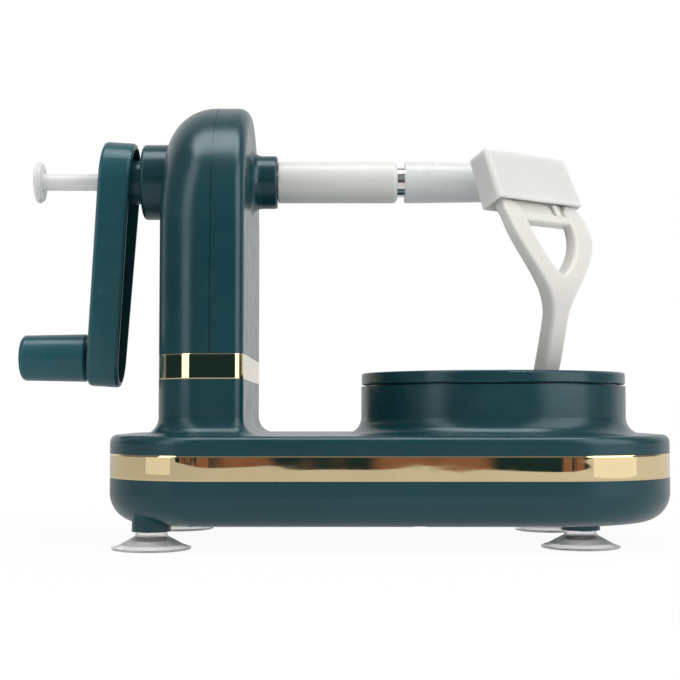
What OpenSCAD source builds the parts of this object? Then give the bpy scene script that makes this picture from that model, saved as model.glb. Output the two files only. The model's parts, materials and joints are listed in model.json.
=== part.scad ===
// Hand-crank fruit peeler: suction-cup base, slab column, crank, fork, turntable and blade arm.
// Millimetres, +Z up, table at z = 0, front of the object towards -Y, fork pointing +X.

/* [Base] */
// length of the base along X
base_l = 229.6; // [190:0.1:270]
// depth of the base along Y
base_w = 134; // [124:1:170]
// corner radius of the base at the crank end
base_corner_l = 44; // [36:1:50]
// corner radius of the base at the turntable end
base_corner_r = 52; // [40:1:58]
// X of the base centre
base_x = 21.3; // [15:0.1:28]
// height of the underside over the table
base_z0 = 9.3; // [8.5:0.1:14]
// height of the deck over the table
base_z1 = 44.4; // [42:0.1:46]
// radius of the bottom edge
base_bottom_round = 12; // [6:0.5:13]
// radius of the top edge
base_top_round = 3; // [1.5:0.1:3.5]
// wall thickness of the mouldings
wall = 2.6; // [2:0.1:3]

/* [Trim strips] */
// bottom of the base strip
band_z0 = 27.3; // [25:0.1:29]
// height of the base strip
band_h = 9.7; // [6:0.1:11]
// bottom of the column strip
ring_z0 = 66.5; // [60:0.5:75]
// height of the column strip
ring_h = 9.9; // [6:0.1:14]
// thickness of both strips
trim_t = 1.2; // [0.8:0.1:1.4]

/* [Feet] */
// rim diameter of a suction cup
cup_d = 31; // [26:0.5:32]
// distance of the left cups from the end of the base
cup_left_in = 20; // [18:0.5:26]
// distance of the left cups from the sides of the base
cup_left_side = 20; // [19:0.5:26]
// distance of the right cups from the end of the base
cup_right_in = 40.4; // [30:0.1:46]
// distance of the right cups from the sides of the base
cup_right_side = 27; // [24:0.5:34]
// diameter of the foot bosses
foot_d = 15.4; // [14:0.1:18]

/* [Column] */
// X of the crank side of the column
col_x0 = -72.6; // [-75:0.1:-70]
// thickness of the column along X
col_t = 35.2; // [33:0.1:37]
// width of the column along Y
col_w = 110; // [104:1:116]
// top of the column
col_top_z = 183.4; // [180:0.1:195]
// edge radius on the crank side
col_round_l = 20.5; // [10:0.5:21]
// edge radius on the fork side
col_round_r = 5; // [3.5:0.5:8]
// distance of the seam between the column shells from the crank side
seam_in = 22.1; // [19.5:0.1:24]
// fillet where the column meets the deck
col_fillet = 7; // [2:0.5:7.5]

/* [Shaft and fork] */
// height of the shaft axis
axis_z = 152.5; // [149:0.5:155]
// diameter of the hollow main shaft
shaft_d = 10; // [9.6:0.1:10.4]
// diameter of the crank boss on the column
boss_d = 32.2; // [26:0.2:36]
// length of the crank boss
boss_l = 11.5; // [10:0.1:15]
// diameter of the fork collar on the column
collar_d = 22.7; // [20:0.1:26]
// length of the fork collar
collar_l = 10.8; // [10:0.1:15]
// diameter of the fruit sleeve
sleeve_d = 17.8; // [17:0.1:18.4]
// length of the fruit sleeve
sleeve_l = 51.5; // [46:0.1:52.5]
// diameter of the chrome fork root
fork_d = 12.8; // [12:0.1:13.2]
// bare length of the fork root between sleeve and cover
fork_gap = 3.2; // [1:0.1:4]
// length of the tines past the fork root
tine_l = 23; // [15:0.5:24]
// end of the fork cover past the sleeve
cover_end = 42; // [38:0.5:43]

/* [Crank] */
// distance between the crank axis and the grip axis
crank_throw = 75.8; // [66:0.1:84]
// radius of the crank arm at the shaft
crank_r1 = 17.1; // [14:0.1:19]
// radius of the crank arm at the grip
crank_r2 = 12.3; // [10:0.1:14]
// thickness of the crank arm
crank_t = 13.4; // [11:0.1:14]
// outward lean of the crank arm in degrees
crank_lean = 3.7; // [2:0.1:5]
// diameter of the hub between arm and boss
hub_d = 18.9; // [17:0.1:24]
// gap between the crank arm and the boss
hub_gap = 4; // [3.5:0.1:6]
// diameter of the grip at the arm
grip_d = 20.4; // [17:0.1:23]
// length of the grip
grip_l = 28.2; // [24:0.1:34]
// gap between the grip and the crank arm
grip_gap = 1.3; // [1:0.1:4]

/* [Ejector] */
// diameter of the push rod
rod_d = 7.1; // [6.4:0.1:7.2]
// diameter of the push knob
knob_d = 17.7; // [14:0.1:20]
// bare length of the rod at rest
rod_out = 26.8; // [24:0.1:32]
// push travel of the rod
rod_travel = 22; // [15:0.5:23]

/* [Turntable] */
// X of the turntable axis
tt_x = 65.4; // [63.6:0.2:66.4]
// outside diameter of the turntable rim
tt_d = 111.6; // [110:0.2:116]
// top of the turntable rim
tt_z1 = 70; // [69:0.5:73]
// height of the turntable rim
tt_rim_h = 5; // [4:0.1:6]
// gap between the rim and the bowl wall
tt_gap = 0.6; // [0.4:0.1:1]
// depth of the peel tray
tray_depth = 13; // [12:0.5:13.5]
// flare radius at the foot of the bowl wall
bowl_flare = 7; // [3:0.5:7.5]

/* [Blade arm] */
// direction of the blade arm from the front towards the right, degrees
arm_az = 36.8; // [30:0.1:50]
// distance of the arm hinge from the turntable axis
hinge_r = 30; // [27.5:0.1:32]
// inward lean of the head in degrees
head_lean = 24; // [20:0.5:27]
// distance of the blade pivot from the turntable axis
pivot_r = 20.7; // [20:0.1:22.5]
// height of the blade pivot
pivot_z = 149.6; // [148:0.1:151]
// width of the arm's stem
stem_w = 9; // [7:0.1:9.6]
// thickness of the arm's stem
stem_t = 8; // [6:0.1:8.4]
// height where the arm bulges out most
belly_z = 103.5; // [98:0.5:108]
// distance of that bulge from the turntable axis
belly_r = 39.6; // [37:0.1:41]
// height where the stem starts to widen into the fork
fork_z = 91.5; // [88:0.5:95]
// height of the bottom of the opening between the prongs
crotch_z = 108; // [105:0.5:111]
// top length of the blade guard
guard_l = 46.5; // [45.8:0.1:49]
// widening of the guard towards its mouth on each side
guard_draft = 1.05; // [0.6:0.05:1.2]
// height of the blade guard
guard_h = 23.7; // [21:0.1:26]
// thickness of the blade guard
guard_t = 11.7; // [11.4:0.1:13]
// wall of the blade guard
guard_wall = 1.5; // [1.2:0.1:1.7]

/* [Gears] */
// module of the worm and its wheel
worm_m = 1.25; // [1.2:0.01:1.28]
// teeth of the worm wheel
wheel_n = 18; // [16:1:18]
// module of the base gears
gear_m = 2; // [1.8:0.05:2.1]
// teeth of the drive pinion
pinion_n = 20; // [16:1:22]
// teeth of the turntable gear
tt_gear_n = 36; // [30:1:40]
// face width of the base gears
gear_w = 8; // [5:0.5:9]
// tooth play of the gears
backlash = 0.5; // [0.3:0.05:0.6]

/* [Fits] */
// radial clearance of running fits
run = 0.08; // [0.05:0.01:0.1]
// clearance between moving pieces that are no fit
free = 0.6; // [0.4:0.05:0.8]

/* [Hidden] */
$fn = 64;

// colours
teal = [0.03, 0.21, 0.22];
gold = [0.86, 0.78, 0.55];
white = [0.93, 0.93, 0.92];
steel = [0.75, 0.76, 0.78];
clear = [0.85, 0.88, 0.88, 0.5];
nylon = [0.88, 0.86, 0.8];

// base
base_x0 = base_x - base_l / 2;
base_x1 = base_x + base_l / 2;
floor_z = base_z0 + wall;
roof_z = base_z1 - wall;
split_z = band_z0 + band_h / 2;
post_in = 11;
post_r = 4;
cup_pts = [[base_x0 + cup_left_in, cup_left_side - base_w / 2], [base_x0 + cup_left_in, base_w / 2 - cup_left_side],
    [base_x1 - cup_right_in, cup_right_side - base_w / 2], [base_x1 - cup_right_in, base_w / 2 - cup_right_side]];
foot_z = base_z0 - 2.3;
post_z = floor_z + 8;

// column
col_x1 = col_x0 + col_t;
col_cz = col_top_z - col_w / 2;
ring_mid = ring_z0 + ring_h / 2;
seam_x = col_x0 + seam_in;
col_screw_y = col_w / 2 - col_round_l - 6;
col_screw_pts = [for (y = [-col_screw_y, col_screw_y], z = [ring_z0 + 34, col_cz + 6]) [y, z]];

// shaft line along X
boss_x = col_x0 - boss_l;
collar_x = col_x1 + collar_l;
collar_flare = 4.5;
sleeve_x1 = collar_x + sleeve_l;
fork_x0 = sleeve_x1 - 12;
seat_l = 6;
fork_x1 = sleeve_x1 + fork_gap + seat_l;
cover_x0 = sleeve_x1 + fork_gap;
cover_x1 = sleeve_x1 + cover_end;
arm_in_x = boss_x - hub_gap;
arm_mid_x = arm_in_x - crank_t / 2;
arm_out_x = arm_in_x - crank_t;
arm_floor = 2.4;
shaft_x0 = arm_out_x + arm_floor;
shaft_x1 = collar_x + 30;
shaft_r = shaft_d / 2;
rod_r = rod_d / 2;
bush_r = shaft_r + 2.5;
grip_z = axis_z - crank_throw;
grip_x1 = arm_out_x - crank_throw * tan(crank_lean) - grip_gap;
grip_x0 = grip_x1 - grip_l;
knob_x = arm_out_x - rod_out;
tip_r = 2;
rod_step_x = fork_x0 - rod_travel - 1.5;

// worm and gears
worm_pitch = PI * worm_m;
worm_root = shaft_r + 1.4;
worm_pr = worm_root + 1.2 * worm_m;
wheel_pr = worm_m * wheel_n / 2;
lay_x = col_x0 + col_t / 2;
lay_y = worm_pr + wheel_pr;
lay_r = 3;
pinion_r = gear_m * pinion_n / 2;
tt_gear_r = gear_m * tt_gear_n / 2;
lay_tt = norm([tt_x - lay_x, lay_y]);
idler_n = ceil((lay_tt - pinion_r - tt_gear_r) / gear_m);
idler_r = gear_m * idler_n / 2;
side_a = pinion_r + idler_r;
side_b = idler_r + tt_gear_r;
lay_angle = acos((side_a * side_a + lay_tt * lay_tt - side_b * side_b) / (2 * side_a * lay_tt));
dir1 = atan2(-lay_y, tt_x - lay_x) + lay_angle;
idler_x = lay_x + side_a * cos(dir1);
idler_y = lay_y + side_a * sin(dir1);
dir2 = atan2(-idler_y, tt_x - idler_x);
idler_phase = dir1 + 180 - 180 / idler_n;
tt_phase = dir2 + 180 - 180 / tt_gear_n - (idler_phase - dir2) * idler_n / tt_gear_n;
gear_z = post_z + 4.1;

// screw posts of the base beside the gears
post_y = base_w / 2 - post_in;
screw_pts = [[lay_x, -post_y], [lay_x, post_y], [base_x + 10, -post_y], [base_x + 10, post_y],
    [base_x1 - 20, -26], [base_x1 - 20, 26]];

// turntable
tt_r = tt_d / 2;
rim_z0 = tt_z1 - tt_rim_h;
bowl_r = tt_r + 0.2;
bowl_z1 = rim_z0 - tt_gap;
tray_r = bowl_r - wall - 1;
tray_in = tray_r - 2;
tray_z = tt_z1 - tray_depth;
tray_z0 = tray_z - 2;
spindle_r = 6;
journal_r = 4;

// arm
hinge_z = tray_z + 5.5;
barrel_r = 4.4;
ear_in = 5.3;
coil_room = 5.2;
hinge_pin_r = 1.5;
head_top = 11.3;
cav_t = guard_l / 2 - guard_wall;
cav_n = guard_t / 2 - guard_wall;
tip_t = cav_t - 0.7;
tip_w = 5.2;
tip_z = pivot_z + 6.4;
neck_h = 7.6;
neck_z = pivot_z - neck_h;
neck_r = pivot_r + neck_h * tan(head_lean);
neck_slope = 0.95;
fork_h = 37.5;
open_h = 23;
head_t = 6;
tip_top = (tip_z - pivot_z) / cos(head_lean) + head_t / 2 * sin(head_lean);
stop_z = tip_top + 0.5;
head_half = guard_l / 2 + guard_draft - guard_wall - 0.5;
open_half = head_half - 9.8;
bar_z = crotch_z + open_h + 1.4;

// shapes used by several pieces

// rectangle with round corners, centred
module rrect(l, w, r) {
    square([l - 2 * r, w], center = true);
    square([l, w - 2 * r], center = true);
    for (sx = [-1, 1], sy = [-1, 1]) translate([sx * (l / 2 - r), sy * (w / 2 - r)]) circle(r);
}

// rounded rectangle from x0 to x1 with its own corner radius at each end
module plan(x0, x1, w, rl, rr) {
    translate([x0 + rl, -w / 2]) square([x1 - rr - x0 - rl, w]);
    translate([x0, rl - w / 2]) square([rl + 1, w - 2 * rl]);
    translate([x1 - rr - 1, rr - w / 2]) square([rr + 1, w - 2 * rr]);
    for (sy = [-1, 1]) {
        translate([x0 + rl, sy * (w / 2 - rl)]) circle(rl);
        translate([x1 - rr, sy * (w / 2 - rr)]) circle(rr);
    }
}

// carries a flat profile (x outward, y up) round a rounded rectangle
module edge_run(x0, x1, w, rl, rr) {
    for (s = [-1, 1]) {
        translate([x1 - rr, s * (w / 2 - rr), 0]) rotate([0, 0, s > 0 ? 0 : -90])
            rotate_extrude(angle = 90) translate([rr, 0]) children();
        translate([x0 + rl, s * (w / 2 - rl), 0]) rotate([0, 0, s > 0 ? 90 : 180])
            rotate_extrude(angle = 90) translate([rl, 0]) children();
    }
    translate([x1, w / 2 - rr, 0]) rotate([90, 0, 0]) linear_extrude(w - 2 * rr) children();
    translate([x0, rl - w / 2, 0]) rotate([90, 0, 180]) linear_extrude(w - 2 * rl) children();
    translate([x1 - rr, -w / 2, 0]) rotate([90, 0, -90]) linear_extrude(x1 - rr - x0 - rl) children();
    translate([x0 + rl, w / 2, 0]) rotate([90, 0, 90]) linear_extrude(x1 - rr - x0 - rl) children();
}

// side profile of the base edge
module base_edge(inset) {
    rb = base_bottom_round - inset;
    rt = max(base_top_round - inset, 0.4);
    z0 = base_z0 + inset;
    z1 = base_z1 - inset;
    translate([-rb - 1, z0 + rb]) square([rb + 1, z1 - rt - z0 - rb]);
    translate([-rb - 1, z1 - rt - 1]) square([rb + 1 - rt, rt + 1]);
    translate([-rt, z1 - rt]) circle(rt);
    translate([-rb - 1, z0]) square([1, rb + 1]);
    intersection() {
        translate([-rb, z0 + rb]) circle(rb);
        translate([-rb, z0]) square([rb, rb]);
    }
}

// outer or inner form of the base
module base_form(inset) {
    rb = base_bottom_round - inset;
    edge = rb + inset;
    translate([0, 0, base_z0 + inset]) linear_extrude(base_z1 - base_z0 - 2 * inset)
        plan(base_x0 + edge, base_x1 - edge, base_w - 2 * edge, base_corner_l - edge, base_corner_r - edge);
    edge_run(base_x0 + inset, base_x1 - inset, base_w - 2 * inset, base_corner_l - inset,
        base_corner_r - inset) base_edge(inset);
}

// groove or body of the base strip
module base_band(extra) {
    edge_run(base_x0, base_x1, base_w, base_corner_l, base_corner_r)
        translate([-trim_t, band_z0]) square([trim_t + extra, band_h]);
}

// half plan of the column, x across the object and y along it
module col_half(inset) {
    x0 = col_x0 + inset;
    x1 = col_x1 - inset;
    w = col_w / 2 - inset;
    rl = col_round_l - inset;
    rr = max(col_round_r - inset, 0.5);
    translate([0, x0 + rl]) square([w, x1 - rr - x0 - rl]);
    translate([0, x0]) square([w - rl, rl + 1]);
    translate([0, x1 - rr - 1]) square([w - rr, rr + 1]);
    intersection() {
        translate([w - rl, x0 + rl]) circle(rl);
        translate([w - rl, x0]) square([rl, rl]);
    }
    intersection() {
        translate([w - rr, x1 - rr]) circle(rr);
        translate([w - rr, x1 - rr]) square([rr, rr]);
    }
}

// plan of the column
module col_plan(inset) {
    mirror([1, -1]) col_half(inset);
    mirror([0, 1]) mirror([1, -1]) col_half(inset);
}

// column form with its round top, from height z0 up
module col_form(inset, z0) {
    translate([0, 0, z0]) linear_extrude(col_cz - z0) col_plan(inset);
    translate([0, 0, col_cz]) rotate([90, 0, 90]) rotate_extrude(angle = 180) col_half(inset);
}

// strip round the column
module col_ring(extra) {
    edge_run(col_x0, col_x1, col_w, col_round_l, col_round_r)
        translate([-trim_t, ring_z0]) square([trim_t + extra, ring_h]);
}

// cylinder along X between two stations at height z
module xcyl(x0, x1, r, z = axis_z, y = 0) {
    translate([x0, y, z]) rotate([0, 90, 0]) cylinder(h = x1 - x0, r = r);
}

// revolved profile about the shaft axis, profile x is radius and y runs along X
module xrev(z = axis_z) {
    translate([0, 0, z]) rotate([90, 0, 90]) rotate_extrude() children();
}

// half disc profile with rounded rim, from y0 to y1
module rim_profile(r, y0, y1, e0, e1) {
    translate([0, y0 + e0]) square([r, y1 - y0 - e0 - e1]);
    translate([0, y0]) square([r - e0, e0 + 0.01]);
    translate([0, y1 - e1 - 0.01]) square([r - e1, e1 + 0.01]);
    if (e0 > 0) translate([r - e0, y0 + e0]) circle(e0);
    if (e1 > 0) translate([r - e1, y1 - e1]) circle(e1);
}

// tooth outline point at radius r for a gear of module m, n teeth, side s
function inv_deg(a) = tan(a) * 180 / PI - a;
function half_angle(m, n, r) =
    let (rp = m * n / 2, rb = rp * cos(20), rc = max(r, rb * 1.001))
    90 / n - backlash / 4 / rp * 180 / PI + inv_deg(20) - inv_deg(acos(rb / rc));
function gear_pts(m, n, phase) = [for (k = [0:n - 1], q = [0:5])
    let (rp = m * n / 2, ro = rp + 0.92 * m, ri = rp - 1.2 * m,
        r = q == 0 || q == 5 ? ri : (q == 1 || q == 4 ? rp : ro),
        s = q < 3 ? -1 : 1,
        a = phase + k * 360 / n + s * half_angle(m, n, r))
    [r * cos(a), r * sin(a)]];

// rounded box section of the arm from t0 to t1 across, t thick
function section(t0, t1, t, r) = let (e = min(r, (t1 - t0) / 2 - 0.05))
    [for (c = [0:3], k = [0:3]) let (a = 90 * c + 30 * k)
        [(c == 0 || c == 3 ? t1 - e : t0 + e) + e * cos(a), (c < 2 ? t / 2 - e : e - t / 2) + e * sin(a)]];

// solid skinned through equal rings
module skin(rings) {
    n = len(rings[0]);
    m = len(rings);
    polyhedron(points = [for (r = rings) each r],
        faces = concat([[for (j = [0:n - 1]) j]], [[for (j = [0:n - 1]) m * n - 1 - j]],
            [for (i = [0:m - 2], j = [0:n - 1]) let (k = (j + 1) % n)
                each [[i * n + j, (i + 1) * n + j, (i + 1) * n + k], [i * n + j, (i + 1) * n + k, i * n + k]]]),
        convexity = 6);
}

// smooth step from 0 to 1
function ease(q) = let (c = max(0, min(1, q))) c * c * (3 - 2 * c);

// distance of the arm's middle from the turntable axis: bent stem, bulge, then the leaning head
function arm_r(z) = z < belly_z
    ? hinge_r + (belly_r - hinge_r) * (1 - pow(1 - max(0, z - hinge_z) / (belly_z - hinge_z), 1.25))
    : z < neck_z
    ? let (l = neck_z - belly_z, q = (z - belly_z) / l)
        belly_r + (neck_r - belly_r) * ease(q) + neck_slope * l * q * q * (1 - q)
    : pivot_r + (pivot_z - z) * tan(head_lean);

// outer edge, inner edge and thickness of one half of the arm at height z
function arm_out(z) = stem_w / 2 + (head_half - stem_w / 2) * ease((z - fork_z) / fork_h)
    + (tip_t - head_half) * ease((z - neck_z + 7) / 6);
function arm_in(z) = z < crotch_z ? -2
    : -2 + (open_half + 2) * pow(1 - pow(1 - min(1, (z - crotch_z) / open_h), 1.8), 0.72)
        + (tip_t - tip_w - open_half) * ease((z - neck_z + 5) / 4);
function arm_thick(z) = stem_t + (head_t - stem_t) * ease((z - fork_z) / (neck_z - fork_z));
function arm_soft(z) = 1.8 - 0.6 * ease((z - fork_z) / fork_h);

// arm frame: x along the hinge, -y outward, z up
module arm_frame() {
    translate([tt_x, 0, 0]) rotate([0, 0, arm_az]) children();
}

// head frame: origin on the blade pivot, z up along the head, -y outward
module head_frame() {
    arm_frame() translate([0, -pivot_r, pivot_z]) rotate([-head_lean, 0, 0]) children();
}

// crank frame: origin on the shaft axis in the middle of the arm
module crank_frame() {
    translate([arm_mid_x, 0, axis_z]) rotate([0, crank_lean, 0]) children();
}

// base pieces

module base_upper_shell() color(teal) difference() {
    union() {
        intersection() {
            difference() {
                base_form(0);
                base_form(wall);
            }
            translate([base_x0 - 1, -base_w, split_z]) cube([base_l + 2, 2 * base_w, base_z1]);
        }
        // column foot with its fillet
        translate([0, 0, roof_z]) linear_extrude(ring_mid - roof_z) col_plan(0);
        edge_run(col_x0, col_x1, col_w, col_round_l, col_round_r) difference() {
            translate([-1, base_z1 - 1]) square([1 + col_fillet, 1 + col_fillet]);
            translate([col_fillet, base_z1 + col_fillet]) circle(col_fillet);
        }
        // bowl wall with its flare
        translate([tt_x, 0, 0]) rotate_extrude() difference() {
            union() {
                translate([0, roof_z]) square([bowl_r, bowl_z1 - roof_z]);
                translate([bowl_r - 1, roof_z]) square([1 + bowl_flare, wall + bowl_flare]);
            }
            translate([bowl_r + bowl_flare, base_z1 + bowl_flare]) circle(bowl_flare);
        }
        // spindle bearing and screw posts
        translate([tt_x, 0, gear_z + gear_w + 3]) cylinder(h = base_z1 - gear_z - gear_w - 3, r = 10);
        for (p = screw_pts) translate([p[0], p[1], post_z]) cylinder(h = roof_z + 0.5 - post_z, r = post_r);
    }
    base_band(1);
    col_ring(1);
    translate([0, 0, roof_z - 1]) linear_extrude(ring_z0 + ring_h - roof_z + 2) col_plan(wall);
    translate([tt_x, 0, 0]) difference() {
        translate([0, 0, base_z1]) cylinder(h = bowl_z1, r = bowl_r - wall);
        cylinder(h = tray_z0 - 0.5, r = 10);
    }
    translate([tt_x, 0, gear_z]) cylinder(h = tray_z0, r = spindle_r + run);
    translate([tt_x, 0, tray_z0 - 0.5]) cylinder(h = 30, r = 12);
    for (p = screw_pts) translate([p[0], p[1], post_z - 1]) cylinder(h = 13, r = 1.5);
}

module base_lower_shell() color(teal) difference() {
    union() {
        intersection() {
            difference() {
                base_form(0);
                base_form(wall);
            }
            translate([base_x0 - 1, -base_w, 0]) cube([base_l + 2, 2 * base_w, split_z]);
        }
        for (p = cup_pts) translate([p[0], p[1], foot_z])
            cylinder(h = base_z0 + base_bottom_round - foot_z, d = foot_d);
        for (p = screw_pts) translate([p[0], p[1], floor_z - 1]) cylinder(h = post_z - floor_z + 1, r = post_r);
        translate([lay_x, lay_y, floor_z - 0.5]) cylinder(h = post_z - floor_z + 0.5, r = 7);
        translate([idler_x, idler_y, floor_z - 0.5]) cylinder(h = post_z - floor_z + 3, r = 7);
        translate([tt_x, 0, floor_z - 0.5]) cylinder(h = post_z - floor_z - 1, r = 8);
    }
    base_band(1);
    for (p = cup_pts) translate([p[0], p[1], 0]) cylinder(h = base_z0 + base_bottom_round + 1, r = 4);
    for (p = screw_pts) translate([p[0], p[1], 0]) {
        cylinder(h = floor_z + 1.5, r = 3.1);
        cylinder(h = post_z + 1, r = 1.7);
    }
    translate([lay_x, lay_y, floor_z + 1]) cylinder(h = 20, r = lay_r + run);
    translate([idler_x, idler_y, floor_z + 0.5]) cylinder(h = 20, r = 3);
    translate([tt_x, 0, floor_z + 0.5]) cylinder(h = 20, r = journal_r + run);
}

module base_trim_band() color(gold) base_band(0);

// suction cup: flat rim on the table, thin bell, neck and plug
module cup(i) color(clear) translate([cup_pts[i][0], cup_pts[i][1], 0]) rotate_extrude() difference() {
    union() {
        polygon([[0, 0], [cup_d / 2 - 0.3, 0], [cup_d / 2, 0.3], [cup_d / 2, 0.9], [cup_d / 2 - 3, 1.9],
            [8.5, 4.1], [6.6, 5.1], [6.2, 5.8], [6.2, foot_z], [4, foot_z], [4, floor_z], [0, floor_z]]);
    }
    polygon([[-1, -1], [cup_d / 2 - 1.6, -1], [cup_d / 2 - 1.6, 0], [cup_d / 2 - 3.4, 0.9], [7.5, 2.9],
        [3, 4], [-1, 4.2]]);
}
module cup_front_left() cup(0);
module cup_back_left() cup(1);
module cup_front_right() cup(2);
module cup_back_right() cup(3);

module base_screws() color(steel) for (p = screw_pts) translate([p[0], p[1], 0]) difference() {
    union() {
        translate([0, 0, floor_z - 0.7]) cylinder(h = 2.2, r = 2.9);
        translate([0, 0, floor_z]) cylinder(h = post_z + 11 - floor_z, r = 1.5);
    }
    for (a = [0, 90]) translate([0, 0, floor_z - 0.5]) rotate([0, 0, a]) cube([3.6, 0.8, 2], center = true);
}

// column pieces

module col_shell() difference() {
    col_form(0, ring_mid);
    col_form(wall, ring_mid - 1);
    col_ring(1);
    // fine groove along the seam
    intersection() {
        difference() {
            col_form(-0.5, ring_mid - 1);
            col_form(0.3, ring_mid - 2);
        }
        translate([seam_x - 0.2, -col_w, 0]) cube([0.4, 2 * col_w, 2 * col_top_z]);
    }
}

module column_left_shell() color(teal) difference() {
    union() {
        intersection() {
            col_shell();
            translate([col_x0 - 1, -col_w, 0]) cube([seam_x - col_x0 + 1, 2 * col_w, 2 * col_top_z]);
        }
        xrev() rim_profile(boss_d / 2, boss_x, col_x0 + wall + 2, 1.5, 0);
        for (p = col_screw_pts) xcyl(col_x0 + wall - 0.5, seam_x, 3.8, p[1], p[0]);
    }
    xcyl(boss_x - 1, seam_x, bush_r);
    for (p = col_screw_pts) {
        xcyl(col_x0 - 1, seam_x + 1, 1.7, p[1], p[0]);
        xcyl(col_x0 - 1, col_x0 + 3.4, 3.1, p[1], p[0]);
    }
}

module column_right_shell() color(teal) difference() {
    union() {
        intersection() {
            col_shell();
            translate([seam_x, -col_w, 0]) cube([col_t, 2 * col_w, 2 * col_top_z]);
        }
        // collar with a hollow fillet at its root
        xrev() rim_profile(collar_d / 2, col_x1 - wall - 2, collar_x, 0, 1);
        xrev() difference() {
            translate([0, col_x1 - 1]) square([collar_d / 2 + collar_flare, 1 + collar_flare]);
            translate([collar_d / 2 + collar_flare, col_x1 + collar_flare]) circle(collar_flare);
        }
        for (p = col_screw_pts) xcyl(seam_x, col_x1 - wall + 0.5, 3.8, p[1], p[0]);
        // shelf that carries the top of the lay shaft
        translate([lay_x - 6, lay_y - 7, axis_z + 8]) cube([col_x1 - wall + 0.5 - lay_x + 6, 14, 4]);
    }
    xcyl(seam_x, collar_x + 1, bush_r);
    for (p = col_screw_pts) xcyl(seam_x - 1, col_x1 - wall - 1, 1.5, p[1], p[0]);
    translate([lay_x, lay_y, axis_z]) cylinder(h = 20, r = lay_r + run);
}

module column_trim_ring() color(gold) col_ring(0);

module column_screws() color(steel) for (p = col_screw_pts) difference() {
    union() {
        xcyl(col_x0 + 1.2, col_x0 + 3.4, 2.9, p[1], p[0]);
        xcyl(col_x0 + 3, col_x1 - wall - 1.5, 1.5, p[1], p[0]);
    }
    for (a = [0, 90]) translate([col_x0 + 1.2, p[0], p[1]]) rotate([a, 0, 0]) cube([2, 3.6, 0.8], center = true);
}

module bush(x0, x1) xrev() difference() {
    translate([0, x0]) square([bush_r, x1 - x0]);
    translate([-1, x0 - 1]) square([shaft_r + run + 1, x1 - x0 + 2]);
}
module crank_bush() color(nylon) bush(boss_x + 0.8, col_x0 + wall + 2);
module fork_bush() color(nylon) bush(col_x1 - wall - 2, collar_x - 0.8);

module idler_pin() color(steel) translate([idler_x, idler_y, floor_z + 0.5])
    cylinder(h = gear_z + gear_w + 2 - floor_z, r = 3);

// crank body

module main_shaft() color(steel) xrev() difference() {
    translate([0, shaft_x0]) square([shaft_r, shaft_x1 - shaft_x0]);
    translate([-1, shaft_x0 - 1]) square([rod_r + run + 1, shaft_x1 - shaft_x0 + 2]);
}

// worm: plain core and one left-hand thread
module worm() color(nylon) difference() {
    union() {
        xcyl(lay_x - 2.1 * worm_pitch, lay_x + 2.1 * worm_pitch, worm_root);
        skin([for (k = [-36:36]) let (a = k * 15, x = lay_x - worm_pitch * a / 360, ta = tan(20),
            rt = worm_pr + 0.92 * worm_m, rr = worm_root - 0.3, hw = worm_pitch / 4 - backlash / 4)
            [for (q = [[1, rr], [1, rt], [-1, rt], [-1, rr]]) let (d = hw - (q[1] - worm_pr) * ta)
                [x + q[0] * d, q[1] * cos(a), axis_z + q[1] * sin(a)]]]);
    }
    xcyl(lay_x - 4 * worm_pitch, lay_x + 4 * worm_pitch, shaft_r);
}

// soft-edged disc across X for the crank arm
module arm_disc(r, h, e) rotate([0, 90, 0]) rotate_extrude()
    polygon([[0, -h], [r - e, -h], [r - 0.29 * e, 0.29 * e - h], [r, e - h], [r, h - e],
        [r - 0.29 * e, h - 0.29 * e], [r - e, h], [0, h]]);

module crank_arm() color(teal) difference() {
    union() {
        difference() {
            crank_frame() hull() {
                arm_disc(crank_r1, crank_t / 2, 1.4);
                translate([0, 0, -crank_throw / cos(crank_lean)]) arm_disc(crank_r2, crank_t / 2, 1.4);
            }
            // hollow back
            crank_frame() hull() {
                translate([arm_floor - crank_t / 2, 0, 0]) rotate([0, 90, 0]) cylinder(h = crank_t, r = crank_r1 - 2.2);
                translate([arm_floor - crank_t / 2, 0, -crank_throw / cos(crank_lean)]) rotate([0, 90, 0])
                    cylinder(h = crank_t, r = crank_r2 - 2.2);
            }
        }
        // hub, grip post and stiffening web
        xcyl(arm_out_x + 1.4, boss_x - free / 2, hub_d / 2);
        xcyl(grip_x1 + 0.4, grip_x1 + grip_gap + 8, 6, grip_z);
        crank_frame() translate([-crank_t / 2 + 1.2, -1, -crank_throw + 4]) cube([6, 2, crank_throw - 11]);
    }
    xcyl(shaft_x0, boss_x + 1, shaft_r);
    xcyl(arm_out_x - 5, shaft_x0 + 1, rod_r + 0.45);
    xcyl(grip_x1 - 1, grip_x1 + 20, 3, grip_z);
}

module grip_axle() color(steel) union() {
    xcyl(grip_x0 + 7, grip_x1 + grip_gap + 10, 3, grip_z);
    xcyl(grip_x1 + grip_gap + 8, grip_x1 + grip_gap + 10, 5, grip_z);
}

module grip() color(teal) difference() {
    xrev(grip_z) difference() {
        union() {
            polygon([[0, grip_x0 + 4], [grip_d / 2 - 0.45, grip_x0 + 4], [grip_d / 2, grip_x1 - 0.8],
                [grip_d / 2 - 0.8, grip_x1], [0, grip_x1]]);
            rim_profile(grip_d / 2 - 0.45, grip_x0, grip_x0 + 5, 2.4, 0);
        }
    }
    xcyl(grip_x0 + 6.4, grip_x1 + 1, 3 + run, grip_z);
}

module shaft_clip() color(steel) xrev() translate([shaft_r, col_x0 + wall + 2.4]) square([2.4, 1.2]);

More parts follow.
